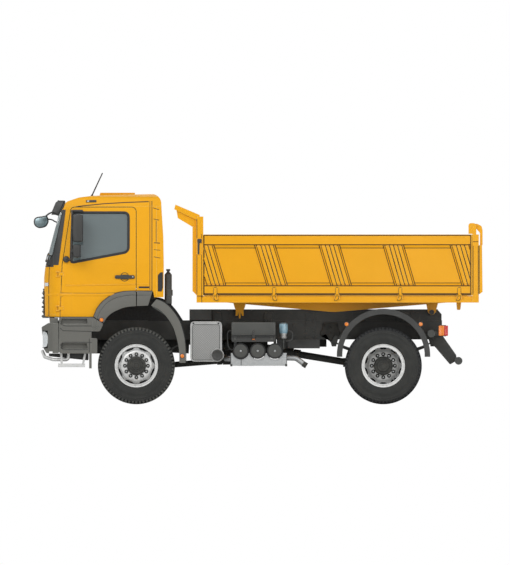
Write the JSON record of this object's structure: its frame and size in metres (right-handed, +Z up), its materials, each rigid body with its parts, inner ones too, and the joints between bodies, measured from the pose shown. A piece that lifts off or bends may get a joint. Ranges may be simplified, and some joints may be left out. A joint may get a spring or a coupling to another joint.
{
  "type": "dump truck",
  "caption": "Short-wheelbase tipper lorry with a flat-fronted tilting cab, twin rear wheels and a drop-side load bed that tips to the rear.",
  "frame": {"origin": "on the ground, below the middle of the lorry's overall length and width", "axes": "+X forward, +Y to the driver's left, +Z up"},
  "size_m": [6.5429, 3, 3.3776],
  "materials": {
    "yellow_paint": "satin",
    "chassis_paint": "satin",
    "silver_paint": "satin",
    "grey_plastic": "matt",
    "black_plastic": "matt",
    "grey_casting": "rough",
    "bare_steel": "brushed",
    "tyre_rubber": "matt",
    "tinted_glass": "clear",
    "lamp_lens": "gloss",
    "cab_trim": "matt"
  },
  "bodies": {
    "chassis": {"ladder_frame": "chassis_paint", "cross_members": "chassis_paint", "tipper_subframe": "chassis_paint", "driveline": "grey_casting", "front_axle": "grey_casting", "rear_axle": "grey_casting", "leaf_springs": "chassis_paint", "front_bumper": "grey_plastic", "chassis_lamps": "lamp_lens", "tube_guards": "silver_paint", "step_boxes": "grey_plastic", "front_mudguards": "grey_plastic", "wheel_housings": "black_plastic", "fuel_tank": "silver_paint", "equipment_boxes": "chassis_paint", "air_tanks": "chassis_paint", "silencer": "silver_paint", "intake_stack": "chassis_paint", "rear_wings": "chassis_paint", "underrun_guard": "chassis_paint"},
    "steering_left": {"knuckle_left": "grey_casting"},
    "wheel_front_left": {"tyre_front_left": "tyre_rubber", "rim_front_left": "silver_paint"},
    "wheel_rear_left": {"tyre_rear_left": "tyre_rubber", "rim_rear_left": "silver_paint"},
    "door_left_leaf": {"door_left": "yellow_paint", "door_glass_left": "tinted_glass", "door_arch_left": "grey_plastic", "mirrors_left": "black_plastic"},
    "drop_side_left": {"side_wall_left": "yellow_paint"},
    "steering_right": {"knuckle_right": "grey_casting"},
    "wheel_front_right": {"tyre_front_right": "tyre_rubber", "rim_front_right": "silver_paint"},
    "wheel_rear_right": {"tyre_rear_right": "tyre_rubber", "rim_rear_right": "silver_paint"},
    "door_right_leaf": {"door_right": "yellow_paint", "door_glass_right": "tinted_glass", "door_arch_right": "grey_plastic", "mirrors_right": "black_plastic"},
    "drop_side_right": {"side_wall_right": "yellow_paint"},
    "track_rod": {"tie_rod": "grey_casting"},
    "cab": {"cab_roof": "yellow_paint", "cab_floor": "yellow_paint", "cab_front_panel": "yellow_paint", "cab_back_wall": "yellow_paint", "cab_sides": "yellow_paint", "cab_glass": "tinted_glass", "cab_grille": "black_plastic", "cab_outside_fittings": "black_plastic", "cab_arch_corners": "grey_plastic", "cab_interior": "cab_trim"},
    "bed": {"bed_floor": "yellow_paint", "bed_headboard": "yellow_paint"},
    "tail_board": {"tailgate": "yellow_paint", "tailgate_arms": "yellow_paint"},
    "ram_barrel": {"hoist_barrel": "bare_steel"},
    "ram_stage_1": {"hoist_stage_1": "bare_steel"},
    "ram_stage_2": {"hoist_stage_2": "bare_steel"},
    "ram_stage_3": {"hoist_stage_3": "bare_steel"}
  },
  "joints": [
    {"name": "steer_left", "type": "hinge", "parent": "chassis", "child": "steering_left", "pos_m": [1.774, 0.905, 0.562], "axis": [0, 0, 1], "range_deg": [-35, 35]},
    {"name": "steer_right", "type": "hinge", "parent": "chassis", "child": "steering_right", "pos_m": [1.774, -0.905, 0.562], "axis": [0, 0, 1], "range_deg": [-35, 35]},
    {"name": "track_rod_swing", "type": "hinge", "parent": "steering_left", "child": "track_rod", "pos_m": [1.604, 0.905, 0.414], "axis": [0, 0, 1], "range_deg": [-35, 35]},
    {"name": "spin_front_left", "type": "hinge", "parent": "steering_left", "child": "wheel_front_left", "pos_m": [1.774, 1.02, 0.562], "axis": [0, 1, 0], "continuous": true},
    {"name": "spin_rear_left", "type": "hinge", "parent": "chassis", "child": "wheel_rear_left", "pos_m": [-1.826, 0.905, 0.562], "axis": [0, 1, 0], "continuous": true},
    {"name": "spin_front_right", "type": "hinge", "parent": "steering_right", "child": "wheel_front_right", "pos_m": [1.774, -1.02, 0.562], "axis": [0, 1, 0], "continuous": true},
    {"name": "spin_rear_right", "type": "hinge", "parent": "chassis", "child": "wheel_rear_right", "pos_m": [-1.826, -0.905, 0.562], "axis": [0, 1, 0], "continuous": true},
    {"name": "cab_tilt", "type": "hinge", "parent": "chassis", "child": "cab", "pos_m": [3.004, 0, 1.1], "axis": [0, 1, 0], "range_deg": [0, 60]},
    {"name": "door_left_hinge", "type": "hinge", "parent": "cab", "child": "door_left_leaf", "pos_m": [2.902, 1.18, 2], "axis": [0, 0, -1], "range_deg": [0, 70]},
    {"name": "door_right_hinge", "type": "hinge", "parent": "cab", "child": "door_right_leaf", "pos_m": [2.902, -1.18, 2], "axis": [0, 0, 1], "range_deg": [0, 70]},
    {"name": "bed_tip", "type": "hinge", "parent": "chassis", "child": "bed", "pos_m": [-2.533, 0, 1.343], "axis": [0, -1, 0], "range_deg": [0, 50]},
    {"name": "drop_side_left_hinge", "type": "hinge", "parent": "bed", "child": "drop_side_left", "pos_m": [0, 1.266, 1.592], "axis": [-1, 0, 0], "range_deg": [0, 180]},
    {"name": "drop_side_right_hinge", "type": "hinge", "parent": "bed", "child": "drop_side_right", "pos_m": [0, -1.266, 1.592], "axis": [1, 0, 0], "range_deg": [0, 180]},
    {"name": "tail_board_hinge", "type": "hinge", "parent": "bed", "child": "tail_board", "pos_m": [-3.118, 0, 2.594], "axis": [0, 1, 0], "range_deg": [0, 85]},
    {"name": "ram_swing", "type": "hinge", "parent": "chassis", "child": "ram_barrel", "pos_m": [-0.9, 0, 1.29], "axis": [0, -1, 0], "range_deg": [0, 26]},
    {"name": "ram_slide_1", "type": "slide", "parent": "ram_barrel", "child": "ram_stage_1", "axis": [0, 0, 1], "range_m": [0, 0.456]},
    {"name": "ram_slide_2", "type": "slide", "parent": "ram_stage_1", "child": "ram_stage_2", "axis": [0, 0, 1], "range_m": [0, 0.456]},
    {"name": "ram_slide_3", "type": "slide", "parent": "ram_stage_2", "child": "ram_stage_3", "axis": [0, 0, 1], "range_m": [0, 0.456]}
  ],
  "couplings": [
    {"joint": "steer_right", "follows": "steer_left", "ratio": 1},
    {"joint": "track_rod_swing", "follows": "steer_left", "ratio": -1},
    {"joint": "ram_swing", "follows": "bed_tip", "ratio": 0.51592},
    {"joint": "ram_slide_1", "follows": "bed_tip", "m_per_rad": 0.5217},
    {"joint": "ram_slide_2", "follows": "bed_tip", "m_per_rad": 0.5217},
    {"joint": "ram_slide_3", "follows": "bed_tip", "m_per_rad": 0.5217}
  ]
}
